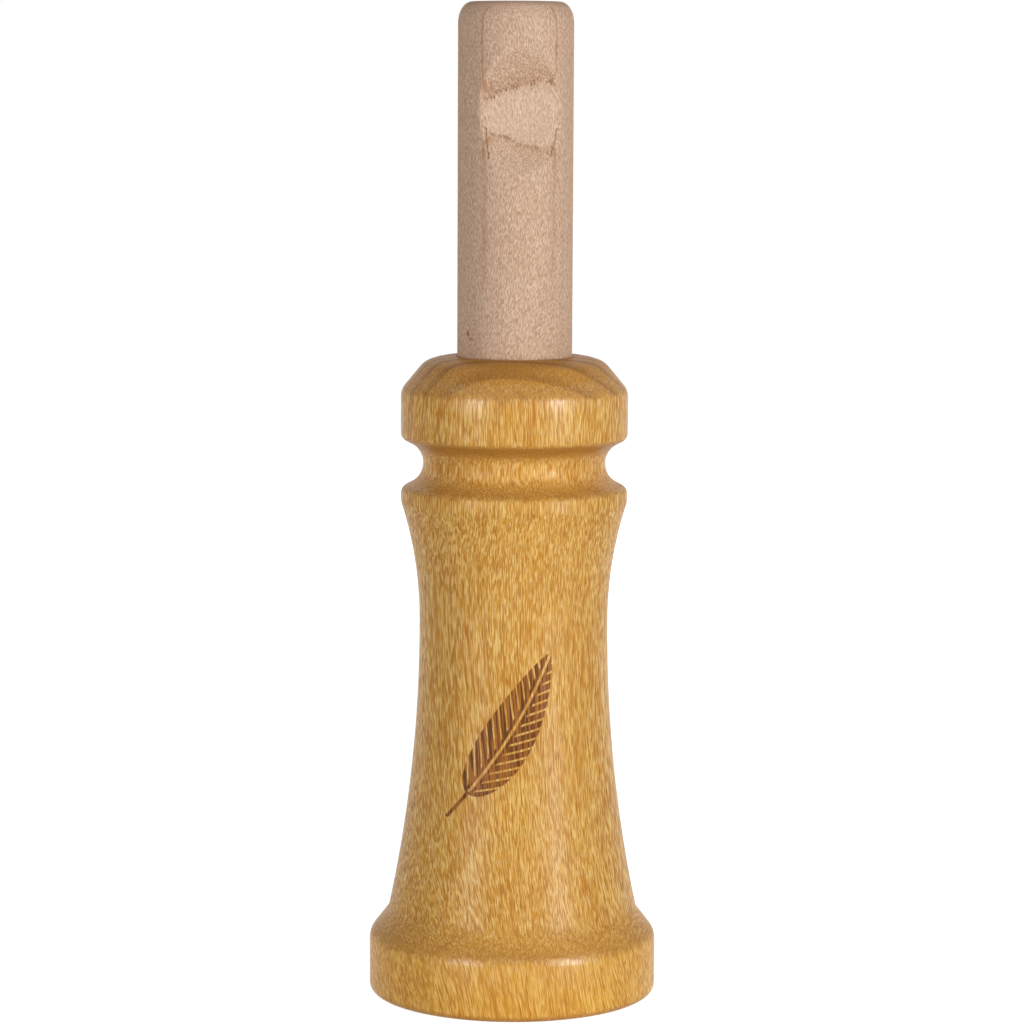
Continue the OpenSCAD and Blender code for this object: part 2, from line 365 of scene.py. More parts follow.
@dataclass(frozen=True)
class LacqueredWood(Finish):
    """Golden, fine-grained turned wood under a satin lacquer. Places are heights in millimetres."""

    name: str = "lacquered_golden_wood"
    gold: Colour = (0.725, 0.397, 0.075)
    amber: Colour = (0.57, 0.255, 0.034)
    straw: Colour = (0.94, 0.675, 0.248)
    pale: Colour = (0.77, 0.45, 0.150)
    # painted light: multiplies the colour brighter near the foot, as if lit from the floor
    painted_foot_light: Colour = (1.13, 1.13, 0.99)
    rust: Colour = (0.47, 0.175, 0.018)
    pore: Colour = (0.30, 0.095, 0.014)
    end_grain: Colour = (0.44, 0.182, 0.028)
    end_late: Colour = (0.25, 0.088, 0.013)
    char: Colour = (0.120, 0.036, 0.010)
    scorch: Colour = (0.37, 0.135, 0.032)
    ember: Colour = (0.45, 0.125, 0.020)
    roughness: float = 0.42
    coat: float = 0.31
    coat_roughness: float = 0.30
    pooled: float = 2.4
    soaked: float = 0.6
    relief: float = 0.012 * MM
    year_width: float = 2.9
    year_shift: float = 0.60
    year_bow: float = 115.0
    year_tilt: float = 0.03
    lean_below: float = 70.0
    lean: float = 0.000013
    foot: Step = (10.0, 7.0)
    foot_top: Step = (9.6, 9.0)
    foot_rim: Zone = (2.0, 7.0, 8.6, 9.6)
    bell: Step = (20.0, 13.0)
    cove: Zone = (70.0, 71.0, 75.5, 76.5)
    collar: Step = (79.0, 80.0)
    collar_rim: Zone = (81.0, 84.4, 85.4, 86.2)
    crown: Step = (79.0, 83.0)
    crown_slope: Zone = (84.0, 85.0, 85.5, 88.0)
    crown_top: Step = (85.0, 87.0)

    def end_share(self, level: Wire, z: Wire, ragged: Wire) -> Wire:
        """Works out where the fibres' ends show, on what faces up or down.

        Args:
            level: How far the surface faces up or down.
            z: The height, in millimetres.
            ragged: Noise that makes the border on the rims ragged.

        Returns:
            How much of the end grain shows, from 0 to 1.
        """
        plain = level.rise(0.22, 0.7)
        rims = z.rise(*self.collar).most(z.rise(*self.foot_top))
        end = plain + rims * ((level + (ragged - 0.5) * 0.5).rise(0.04, 0.6) - plain)
        calm = z.band(self.cove).most(z.rise(*self.bell) * 0.6)
        calm = calm.most(z.band(self.crown_slope) * 0.65)
        return end * (1.0 - calm * 0.45)

    def lacquer(self, level: Wire, x: Wire, z: Wire, pores: Wire) -> Wire:
        """Works out how thick the lacquer is: thicker on two rims, thinner on the crown's top.

        Args:
            level: How far the surface faces up or down.
            x: Across, in millimetres.
            z: The height, in millimetres.
            pores: How much the wood's pores take it up.

        Returns:
            The thickness, about 1 on the walls.
        """
        rims = z.band(self.collar_rim).most(z.band(self.foot_rim))
        pooled = 1.0 + rims * abs(x).rise(13.0, 8.0) * self.pooled
        top = level.rise(0.85, 0.98) * z.rise(*self.crown_top)
        return pores * pooled * (1.0 - top * self.soaked)

    def paint(self, bench: Bench) -> Paint:
        """Lays the wood's flecks, end grain, burnt mark and lacquer, and painted light near the
        foot.

        Args:
            bench: The material's bench.

        Returns:
            The shader's inputs, the relief and its full depth.
        """
        place = bench.place_mm()
        x, y, z = bench.split(place)
        sway = bench.grain(place, 22.0, 60.0, 3.1) - 0.5
        roll = bench.grain(place, 22.0, 60.0, 8.7) - 0.5
        lean = (self.lean_below - z).most(0.0) ** 3.0 * self.lean
        fibre = bench.join(x + sway * 8.0 - lean, y + roll * 8.0, z)

        depth = y - x * x / self.year_bow - x * self.year_tilt + sway * 10.0
        year = (self.year_shift - depth / self.year_width - roll * 1.5).part()
        late = year.rise(0.35, 0.90) * year.rise(1.0, 0.88)
        drift = bench.grain(bench.join(depth, depth * 0.2, z * 0.1), 1.6, 4.0, 5.3)

        fine = bench.grain(fibre, 0.12, 1.5, 1.3, 0.5, deep=0.26)
        dash = bench.grain(fibre, 0.145, 1.8, 17.0, deep=0.3)
        fleck = bench.grain(fibre, 0.15, 2.2, 57.0, deep=0.32)
        line = bench.grain(fibre, 0.12, 8.0, 41.0, deep=0.6)
        pore = bench.grain(fibre, 0.16, 1.4, 29.0, deep=0.3).rise(0.62, 0.74)
        cloud = bench.grain(fibre, 2.4, 24.0, 12.0, 2.0)
        sheen = bench.grain(fibre, 1.0, 18.0, 23.0, 1.0)
        low = z.rise(*self.foot)
        body = bench.layers(
            self.gold,
            (late * 0.45 + drift.rise(0.35, 0.7) * 0.3, self.amber),
            (cloud.rise(0.48, 0.75) * 0.4, self.pale),
            (cloud.rise(0.5, 0.28) * 0.4, self.amber),
            (fleck.rise(0.50, 0.62) * (0.75 - low * 0.25), self.rust),
            (dash.rise(0.46, 0.60) * (0.35 + sheen * 0.5) * (1.0 - low * 0.3), self.straw),
            (line.rise(0.43, 0.34) * 0.75, self.rust),
            (fine.rise(0.5, 0.3) * 0.5, self.amber),
            (pore * 0.35, self.pore),
        )
        # Painted light: the colour near the foot is multiplied brighter, standing in for light off
        # the floor and lamps.
        body = bench.blend(low, body, self.painted_foot_light, "MULTIPLY")

        level = bench.upward()
        end = self.end_share(level, z, sheen)
        ends = bench.layers(
            self.end_grain,
            (bench.grain(place, 0.24, 0.24, 51.0, 2.0).rise(0.4, 0.7) * 0.55, self.gold),
            (late * (0.15 + z.rise(*self.crown) * 0.75), self.end_late),
            (bench.grain(place, 0.26, 0.30, 63.0).rise(0.70, 0.78) * 0.8, self.pore),
        )
        burn = BurntFeather().mask(bench, place)
        stripe = bench.grain(fibre, 0.2, 8.0, 71.0, 0.5).rise(0.42, 0.58)
        glow = burn * (1.0 - burn) * 4.0
        burnt = bench.layers(self.char, (stripe, self.scorch), (glow * 0.8, self.ember))
        body = bench.layers(body, (end * 0.82, ends), (burn * 0.95, burnt))

        lacquer = self.lacquer(level, x, z, dash * 1.6 + fine * 0.8 - 0.4)
        rough = self.roughness + (fine - 0.5) * 0.16 + pore * 0.2 + end * 0.05 + burn * 0.18
        height = fine * 0.45 + dash * 0.35 + (1.0 - pore) * 0.5 - burn * 3.0
        inputs = {
            "Base Color": body,
            "Roughness": rough,
            "Coat Weight": self.coat * (1.0 - burn * 0.6) * lacquer,
            "Coat Roughness": self.coat_roughness,
            "IOR": 1.45,
            "Specular IOR Level": 0.1,
        }
        return inputs, height, self.relief


@dataclass(frozen=True)
class Speck:
    """A small dark spot: its place, half sizes in millimetres and strength."""

    x: float
    z: float
    wide: float
    tall: float
    strength: float

    def spot(self, x: Wire, y: Wire, z: Wire, ragged: Wire) -> Wire:
        """Returns how dark it makes a place on the front, with a ragged edge."""
        across, up = (x - self.x) / self.wide, (z - self.z) / self.tall
        inside = (across * across + up * up + ragged - 0.5).rise(1.3, 0.4)
        return inside * y.rise(0.0, -1.0) * self.strength


@dataclass(frozen=True)
class RawMaple(Finish):
    """A bare sanded maple dowel: pale and matt, with short fine flecks."""

    name: str = "raw_sanded_maple"
    flesh: Colour = (0.605, 0.405, 0.280)
    light: Colour = (0.790, 0.590, 0.450)
    shade: Colour = (0.400, 0.235, 0.145)
    warm: Colour = (0.560, 0.345, 0.220)
    # the burnished band's lighter colour, partly a painted sheen
    burnish_and_sheen: Colour = (0.690, 0.500, 0.370)
    line: Colour = (0.400, 0.190, 0.085)
    torn: Colour = (0.37, 0.185, 0.090)
    pit: Colour = (0.15, 0.065, 0.030)
    slit: Colour = (0.23, 0.085, 0.030)
    dirt: Colour = (0.26, 0.105, 0.036)
    roughness: float = 0.78
    relief: float = 0.03 * MM
    specks: tuple[Speck, ...] = (
        Speck(-6.85, 92.2, 0.15, 0.44, 0.85),
        Speck(-6.50, 91.5, 0.26, 0.26, 0.60),
    )
    year_width: float = 2.6
    year_tilt: float = 0.35
    bow_z: float = 113.0
    bow: float = 0.005
    ring_depth: float = 6.14
    ring_tilt: float = 0.036
    ring_lean: float = 0.009
    ring_top: float = 130.0
    ring_half: float = 0.20
    ring_from: float = 3.3
    ring_fade: Step = (95.0, 103.0)
    under_notch: Step = (118.0, 115.0)

    def ring_line(self, bench: Bench, place: Wire) -> Wire:
        """Draws the thin brown line where one year's growth ends at the surface.

        Args:
            bench: The material's bench.
            place: Object coordinates in millimetres.

        Returns:
            How strong the line is, from 0 to 1.
        """
        x, y, z = bench.split(place)
        wobble = bench.grain(place, 3.0, 5.0, 81.0, 2.0) - 0.5
        level = y + self.ring_depth + x * self.ring_tilt
        level = level + (self.ring_top - z) * self.ring_lean + wobble * 0.3
        gaps = bench.grain(place, 0.6, 2.2, 87.0, 1.0)
        sides = abs(x).rise(self.ring_from, self.ring_from + 1.2)
        below = z.rise(*self.under_notch)
        half = self.ring_half * (1.0 + below * 1.6)
        mark = (abs(level) / half).rise(1.0, 0.0) * (1.0 - below * 0.45)
        return mark * (gaps * 2.2 - 0.4).most(0.0) * z.rise(*self.ring_fade) * sides

    def paint(self, bench: Bench) -> Paint:
        """Lays the flecks, the ring lines and the torn wood at the notch, with a painted sheen on
        the burnished band and painted shade on the torn slope above it.

        Args:
            bench: The material's bench.

        Returns:
            The shader's inputs, the relief and its full depth.
        """
        place = bench.place_mm()
        x, y, z = bench.split(place)
        torn, burnish_painted_light, slit = (bench.mark(name) for name in MARK_NAMES)
        sway = bench.grain(place, 18.0, 50.0, 4.4) - 0.5
        fibre = bench.join(x + sway * 2.0, y + sway * 2.0, z + sway * 3.0)
        off = z - self.bow_z
        bowed = bench.join(x + off * off * self.bow, y, z)
        fleck = bench.grain(bowed, 0.12, 0.52, 2.2, 0.5)
        dark = bench.grain(bowed, 0.12, 0.56, 19.0, 0.5)
        streak = bench.grain(fibre, 0.5, 9.0, 7.0, 2.0)
        cloud = bench.grain(fibre, 5.0, 22.0, 33.0, 2.0)
        year = ((y + x * self.year_tilt + sway * 5.0) / self.year_width).part()
        late = year.rise(0.5, 0.95) * year.rise(1.0, 0.97)
        shred = bench.grain(bench.join(x + z * 0.5, y, z), 0.16, 0.65, 61.0, 1.0)
        hollow = bench.grain(bench.join(x + z * 0.3, y, z), 0.19, 0.34, 67.0, 1.0)
        rent = torn.rise(0.02, 0.15) * 0.6

        body = bench.layers(
            self.flesh,
            (cloud.rise(0.42, 0.7) * 0.5, self.warm),
            (late * 0.25, self.warm),
            # Painted sheen on partly burnished wood lightens the smooth band; painted shade darkens
            # the down-facing slope above it.
            (burnish_painted_light.most(0.0) * 0.5, self.burnish_and_sheen),
            ((-burnish_painted_light).most(0.0) * 0.24, self.shade),
            (streak.rise(0.5, 0.32) * 0.25, self.shade),
            (fleck.rise(0.47, 0.60) * 0.68, self.light),
            (dark.rise(0.49, 0.62) * (0.66 - burnish_painted_light * 0.2), self.shade),
            (self.ring_line(bench, place) * 0.85, self.line),
            (bench.upward().rise(0.5, 1.0) * 0.5, self.warm),
            (torn * 0.2, self.torn),
            ((shred + torn * 0.30 - 0.63).rise(0.0, 0.10) * rent, self.torn),
            ((hollow + torn * 0.16 - 0.70).rise(0.0, 0.06) * rent, self.pit),
            (slit * (shred * 1.5 + 0.1), self.slit),
            *((speck.spot(x, y, z, shred), self.dirt) for speck in self.specks),
        )
        height = fleck * 0.5 + dark * -0.4 + shred * torn * 1.6
        return {"Base Color": body, "Roughness": self.roughness, "IOR": 1.4}, height, self.relief


@dataclass(frozen=True)
class MilkyFilm(Finish):
    """The reed's thin plastic: milky, smooth and finely scuffed along its length."""

    name: str = "milky_reed_film"
    body: Colour = (0.80, 0.79, 0.72)
    shade: Colour = (0.62, 0.60, 0.52)
    alpha: float = 0.86
    relief: float = 0.004 * MM

    def paint(self, bench: Bench) -> Paint:
        """Returns the shader's inputs, the relief and its full depth."""
        place = bench.place_mm()
        scuff = bench.grain(place, 0.12, 5.0, 3.0, 2.0)
        haze = bench.grain(place, 2.0, 6.0, 9.0, 1.0)
        body = bench.blend(haze.rise(0.35, 0.7), self.body, self.shade)
        inputs = {
            "Base Color": body,
            "Roughness": 0.26 + scuff.rise(0.5, 0.75) * 0.25,
            "Alpha": self.alpha - haze * 0.1,
            "IOR": 1.5,
        }
        return inputs, scuff, self.relief


@dataclass(frozen=True)
class PressedCork(Finish):
    """The wedge's cork: pressed grains with dark seams and pits."""

    name: str = "pressed_cork"
    body: Colour = (0.47, 0.27, 0.135)
    light: Colour = (0.62, 0.40, 0.23)
    seam: Colour = (0.20, 0.09, 0.04)
    relief: float = 0.06 * MM

    def paint(self, bench: Bench) -> Paint:
        """Returns the shader's inputs, the relief and its full depth."""
        place = bench.place_mm()
        scaled = {"Vector": place, "Scale": 1.5}
        cell = bench.node("ShaderNodeTexVoronoi", {"feature": "DISTANCE_TO_EDGE"}, scaled)
        tone = bench.node("ShaderNodeTexVoronoi", None, scaled, output="Color")
        pit = bench.grain(place, 0.25, 0.25, 6.0, 2.0)
        seam = cell.rise(0.09, 0.0)
        body = bench.blend(bench.split(tone)[0], self.body, self.light)
        body = bench.blend(seam.most(pit.rise(0.62, 0.74)) * 0.8, body, self.seam)
        return {"Base Color": body, "Roughness": 0.85}, pit - seam, self.relief


@dataclass(frozen=True)
class PegWood(Finish):
    """The pegs' darker dowel, with its fibres along the peg, which lies across the call."""

    name: str = "peg_dowel"
    body: Colour = (0.43, 0.235, 0.12)
    shade: Colour = (0.27, 0.13, 0.06)
    relief: float = 0.01 * MM

    def paint(self, bench: Bench) -> Paint:
        """Returns the shader's inputs, the relief and its full depth."""
        x, y, z = bench.split(bench.place_mm())
        fibre = bench.grain(bench.join(x, z, y), 0.12, 2.5, 5.0, 2.0)
        body = bench.blend(fibre.rise(0.35, 0.7), self.body, self.shade)
        return {"Base Color": body, "Roughness": 0.7}, fibre, self.relief


@dataclass(frozen=True)
class DullRubber(Finish):
    """The rings' black rubber, with a bloom of dust and a faint moulding line round the outside."""

    name: str = "dull_black_rubber"
    body: Colour = (0.018, 0.018, 0.019)
    bloom: Colour = (0.075, 0.073, 0.070)
    relief: float = 0.02 * MM

    def paint(self, bench: Bench) -> Paint:
        """Returns the shader's inputs, the relief and its full depth."""
        place = bench.place_mm()
        dust = bench.grain(place, 0.5, 0.5, 2.0, 3.0)
        level = bench.upward().rise(0.12, 0.0)
        body = bench.blend(dust.rise(0.42, 0.75) * 0.7, self.body, self.bloom)
        inputs = {"Base Color": body, "Roughness": 0.5 + dust * 0.25}
        return inputs, dust * 0.4 + level * 0.5, self.relief


def new_piece(name: str, points: list, faces: list, edges: list | None = None) -> Piece:
    """Makes a mesh object at the origin.

    Args:
        name: The object's name.
        points: Its vertices, in metres.
        faces: Its faces.
        edges: Its loose edges, if it has any.

    Returns:
        The object, linked to the scene.
    """
    mesh = bpy.data.meshes.new(name)
    mesh.from_pydata(points, edges or [], faces)
    mesh.update()
    made = bpy.data.objects.new(name, mesh)
    bpy.context.scene.collection.objects.link(made)
    return made


def evaluated(piece: Piece) -> bpy.types.Mesh:
    """Returns a plain mesh of the piece with its modifiers worked out."""
    bpy.context.view_layer.update()
    graph = bpy.context.evaluated_depsgraph_get()
    return bpy.data.meshes.new_from_object(piece.evaluated_get(graph), depsgraph=graph)


def settle(piece: Piece, crease: float = math.radians(32)) -> Piece:
    """Bakes the modifiers into the piece and shades it smooth up to a crease.

    Args:
        piece: The piece, with its modifiers.
        crease: The angle above which an edge stays sharp.

    Returns:
        The same piece, now a plain mesh.
    """
    result = evaluated(piece)
    piece.modifiers.clear()
    piece.data = result
    result.name = piece.name
    result.polygons.foreach_set("use_smooth", [True] * len(result.polygons))
    result.set_sharp_from_angle(angle=crease)
    return piece


def dress(piece: Piece, material: Material) -> None:
    """Puts one material on a piece or a CAD node."""
    if not piece.material_slots:
        piece.data.materials.append(material)
    for slot in piece.material_slots:
        slot.material = material


def dress_node(node: str, material: Material) -> None:
    """Puts a finish on a CAD node that stays, and reports it."""
    dress(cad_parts[node], material)
    log.info("%s keeps its solid, finish %s", node, material.name)


class TurningTree:
    """The Geometry Nodes tree that turns a section into a body of revolution."""

    weld = 0.0005 * MM

    def __init__(self) -> None:
        """Builds the tree, with its inputs Section, Facets and Finish."""
        self.group = bpy.data.node_groups.new("turned_body", "GeometryNodeTree")
        self.inputs: dict[str, str] = {}
        for name, way, kind in (
            ("Section", "INPUT", "NodeSocketGeometry"),
            ("Facets", "INPUT", "NodeSocketInt"),
            ("Finish", "INPUT", "NodeSocketMaterial"),
            ("Body", "OUTPUT", "NodeSocketGeometry"),
        ):
            made = self.group.interface.new_socket(name=name, in_out=way, socket_type=kind)
            self.inputs[name] = made.identifier
        self._wire()

    def _wire(self) -> None:
        """Places one row of points for each point of the section, and closes the rows."""
        bench = Bench(self.group)
        section = bench.node("NodeGroupInput", output=0)
        facets = Wire(bench, section.socket.node.outputs[1])
        finish = Wire(bench, section.socket.node.outputs[2])
        rings = bench.node("GeometryNodeAttributeDomainSize", None, {0: section}, output=0)
        columns = facets + 1.0
        sheet = bench.node("GeometryNodeMeshGrid", None, {2: rings + 1.0, 3: columns})
        index = bench.node("GeometryNodeInputIndex")
        ring = ((index + 0.5) / columns).floor()
        turn = (index - ring * columns) / facets * math.tau
        here = bench.node("GeometryNodeInputPosition")
        sample = {0: section, 1: here, 2: bench.maths("MODULO", ring, rings)}
        corner = bench.node("GeometryNodeSampleIndex", {"data_type": "FLOAT_VECTOR"}, sample)
        radius, _, height = bench.split(corner)
        sine, cosine = bench.maths("SINE", turn), bench.maths("COSINE", turn)
        spot = bench.join(radius * sine, radius * cosine, height)
        body = bench.node("GeometryNodeSetPosition", None, {"Geometry": sheet, "Position": spot})
        seam = {"Geometry": body, "Distance": self.weld}
        body = bench.node("GeometryNodeMergeByDistance", None, seam)
        body = bench.node("GeometryNodeRealizeInstances", None, {0: body})
        body = bench.node("GeometryNodeSetMaterial", None, {"Geometry": body, "Material": finish})
        bench.finish("NodeGroupOutput", body)

    def turn(self, piece: Piece, facets: int, finish: Material) -> Piece:
        """Turns a piece that holds a section.

        Args:
            piece: An object whose mesh is a closed chain of edges in the XZ plane.
            facets: How many faces go round.
            finish: The body's material.

        Returns:
            The same piece as a plain turned mesh.
        """
        modifier = piece.modifiers.new("turn", "NODES")
        modifier.node_group = self.group
        modifier[self.inputs["Facets"]] = facets
        modifier[self.inputs["Finish"]] = finish
        piece.data.update()
        settle(piece)
        face_outwards(piece)
        return piece


def face_outwards(piece: Piece) -> None:
    """Turns all faces of a closed piece to point out."""
    shell = bmesh.new()
    shell.from_mesh(piece.data)
    bmesh.ops.recalc_face_normals(shell, faces=shell.faces[:])
    shell.to_mesh(piece.data)
    shell.free()


@dataclass
class Barrel:
    """The turned barrel, made again from the section of its solid."""

    finish: Material
    facets: int = 288
    straight: float = math.radians(0.12)
    weld: float = 0.0001 * MM

    def section(self) -> list[Point]:
        """Cuts the barrel's solid through its axis.

        Returns:
            The closed outline on the +X side, in order, without points on straight runs.
        """
        shell = bmesh.new()
        shell.from_mesh(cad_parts["barrel"].data)
        bmesh.ops.remove_doubles(shell, verts=shell.verts[:], dist=self.weld)
        parts = shell.verts[:] + shell.edges[:] + shell.faces[:]
        plane = {"plane_co": (0, 0, 0), "plane_no": (0, 1, 0)}
        bmesh.ops.bisect_plane(shell, geom=parts, clear_inner=True, clear_outer=True, **plane)
        start = max((v for v in shell.verts if v.co.x > 0), key=lambda v: (v.co.x, v.co.z))
        chain, before, here = [], None, start
        while here is not None and (before is None or here is not start):
            chain.append(here.co.copy())
            joined = (edge.other_vert(here) for edge in here.link_edges)
            onward = next((vert for vert in joined if vert is not before), None)
            before, here = here, onward
        shell.free()
        return [tuple(p) for p in self._without_straight(chain)]

    def _without_straight(self, chain: list[Vector]) -> list[Vector]:
        """Drops the points at which a closed outline hardly turns."""
        kept = list(chain)
        at = 0
        while at < len(kept):
            before, here, after = kept[at - 1], kept[at], kept[(at + 1) % len(kept)]
            first, second = here - before, after - here
            short = min(first.length, second.length) < self.weld
            if short or first.angle(second) < self.straight:
                kept.pop(at)
            else:
                at += 1
        return kept

    def build(self) -> Piece:
        """Turns the barrel and puts it in the frame.

        Returns:
            The finished piece.
        """
        points = self.section()
        edges = [(i, (i + 1) % len(points)) for i in range(len(points))]
        piece = new_piece("turned_barrel", points, [], edges)
        TurningTree().turn(piece, self.facets, self.finish)
        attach(piece, "barrel")
        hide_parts("barrel")
        log.info("turned_barrel: %d points, %d faces", len(points), len(piece.data.polygons))
        return piece


def line_height(points: Line, x: float) -> float:
    """Reads a line that runs through a few points, level past its ends.

    Args:
        points: The points (x, height), in order.
        x: Where to read it.

    Returns:
        The line's height at x.
    """
    if x <= points[0][0]:
        return points[0][1]
    for (x0, h0), (x1, h1) in zip(points, points[1:]):
        if x <= x1:
            return h0 + (h1 - h0) * (x - x0) / (x1 - x0)
    return points[-1][1]


def smooth(low: float, high: float, value: float) -> float:
    """Returns a smooth step from 0 at low to 1 at high."""
    share = min(1.0, max(0.0, (value - low) / (high - low)))
    return share * share * (3 - 2 * share)


def soft_least(first: float, second: float, reach: float) -> float:
    """Returns the smaller of two values, rounded off where they lie within reach of each other."""
    near = max(0.0, reach - abs(first - second)) / reach
    return min(first, second) - near * near * reach / 4


def off_line(points: Line, x: float, z: float) -> float:
    """Returns how far a place lies from a line that runs through a few points."""
    best = math.inf
    for (x0, z0), (x1, z1) in zip(points, points[1:]):
        dx, dz = x1 - x0, z1 - z0
        share = min(1.0, max(0.0, ((x - x0) * dx + (z - z0) * dz) / (dx * dx + dz * dz)))
        best = min(best, math.hypot(x - x0 - share * dx, z - z0 - share * dz))
    return best


def rough(x: float, y: float, z: float = 0.0) -> float:
    """Returns smooth noise, from about -1 to 1."""
    return noise.noise(Vector((x, y, z)))


@dataclass(frozen=True)
class LipNotch:
    """The notch that a drum cut across the front, for the lip to rest in.

    Places are in millimetres, x across and z up from the base. The cut is smooth in its middle and
    torn above the upper line and below the lower one, where a year's wood broke away.
    """

    middle_z: float = 122.3
    floor: float = 5.68
    drum_r: float = 17.0
    edge: float = 0.4
    upper_line: Line = (
        (-5.2, 123.9), (-4.1, 124.0), (-3.3, 124.5), (-2.6, 125.2), (-0.5, 125.5),
        (1.2, 125.9), (2.7, 126.4), (3.8, 126.2), (4.7, 125.5), (5.2, 125.1),
    )
    lower_line: Line = (
        (-5.0, 120.2), (-4.6, 119.9), (-4.0, 119.3), (-2.6, 119.2), (-1.5, 118.7),
        (-0.4, 118.1), (1.2, 117.7), (3.1, 117.4), (4.0, 116.9), (4.6, 116.6),
    )
    cracks: tuple[Line, ...] = (
        ((-4.80, 120.1), (-4.72, 118.6), (-4.58, 117.4), (-4.45, 116.0)),
        ((4.92, 120.0), (4.72, 118.6), (4.30, 117.2), (3.95, 116.3)),
    )
    upper_sink: float = 0.15
    lower_sink: float = 0.12
    strand: float = 0.11
    smooth_relief: float = 0.012
    crack_depth: float = 0.14
    crack_half: float = 0.085
    lean: float = 0.4

    def drum(self, z: float) -> float:
        """Returns the distance from the axis to the drum's cut at a height."""
        off = min(self.drum_r, abs(z - self.middle_z))
        return self.floor + self.drum_r - math.sqrt(self.drum_r**2 - off**2)

    def reach(self, radius: float) -> float:
        """Returns how far the notch runs up and down on a dowel of a given radius."""
        return math.sqrt(self.drum_r**2 - (self.floor + self.drum_r - radius) ** 2)

    @staticmethod
    def ragged(x: float, seed: float) -> float:
        """Returns the offset of a torn line, in waves and in single fibres, in millimetres."""
        wave, fibre = rough(x * 1.1, seed), rough(x * 3.9, seed + 4.0)
        return 0.22 * wave + 0.42 * fibre + 0.2 * rough(x * 8.5, seed + 9.0)

    def lines(self, x: float) -> tuple[float, float]:
        """Returns the heights of the upper and the lower torn line at x."""
        upper = line_height(self.upper_line, x) + self.ragged(x, 3.7)
        lower = line_height(self.lower_line, x) + self.ragged(x, 9.2)
        return upper, lower

    def strands(self, x: float, z: float) -> float:
        """Returns the relief of torn fibres, from -1 to 1, which lean a little to the left."""
        across = x + (z - self.middle_z) * self.lean
        broad, fine = rough(across * 2.4, z * 0.9, 5.5), rough(across * 5.0, z * 1.9, 8.5)
        return max(-1.0, min(1.0, 1.1 * broad + 1.3 * fine))

    def relief(self, x: float, z: float, cut: float) -> tuple[float, Marks]:
        """Works out the torn wood on the drum's cut.

        Args:
            x: Across, in millimetres.
            z: Up, in millimetres.
            cut: How deep the drum cut here, in millimetres, or less than 0 outside the notch.

        Returns:
            How deep the surface lies under the cut, and its marks: how torn the wood looks, how
            burnished with a painted sheen (less than 0 for painted shade on the slope that faces
            down) and how split.
        """
        hold = smooth(0.0, 0.45, cut)
        bend = 0.16 * rough(z * 1.9, 2.3) + 0.06 * rough(z * 6.0, 4.1)
        crack = min(off_line(line, x + bend, z) for line in self.cracks)
        slit = math.exp(-((crack / self.crack_half) ** 2)) if crack < 0.5 else 0.0
        if hold <= 0.0:
            return self.crack_depth * slit, (0.0, 0.0, slit)
        upper, lower = self.lines(x)
        strand = self.strands(x, z)
        ridge = max(0.0, strand)
        patch = 0.5 + rough(x * 0.7, z * 0.4, 7.7)
        if z > upper:
            # Painted shade: the torn slope above the upper line faces down and is marked -1 to be
            # darkened.
            off, burnish_painted_light = z - upper, -1.0
            near = math.exp(-off)
            depth = self.upper_sink * near + self.strand * strand * (0.35 + 0.9 * near)
            torn = math.exp(-off / 1.5) * (0.62 + 0.4 * ridge) * (0.7 + 0.6 * patch)
            torn = max(torn, 0.08 + 0.16 * ridge)
        elif z < lower:
            off, burnish_painted_light = lower - z, 0.0
            near = math.exp(-off / 0.8)
            depth = self.lower_sink * near + self.strand * strand * (0.3 + 0.7 * near)
            torn = math.exp(-off / 0.6) * (0.65 + 0.5 * ridge) * (0.6 + patch)
            torn = max(torn, 0.06 + 0.12 * ridge)
        else:
            depth, torn = self.smooth_relief * strand, 0.0
            # Painted sheen on burnished wood: the smooth band between the lines is marked to be
            # lightened.
            burnish_painted_light = smooth(-0.3, 1.5, upper - z) * smooth(0.0, 0.8, z - lower)
            burnish_painted_light = burnish_painted_light * smooth(5.3, 4.2, abs(x))
        depth = hold * depth + self.crack_depth * slit
        return depth, (min(1.0, hold * torn), hold * burnish_painted_light, slit)


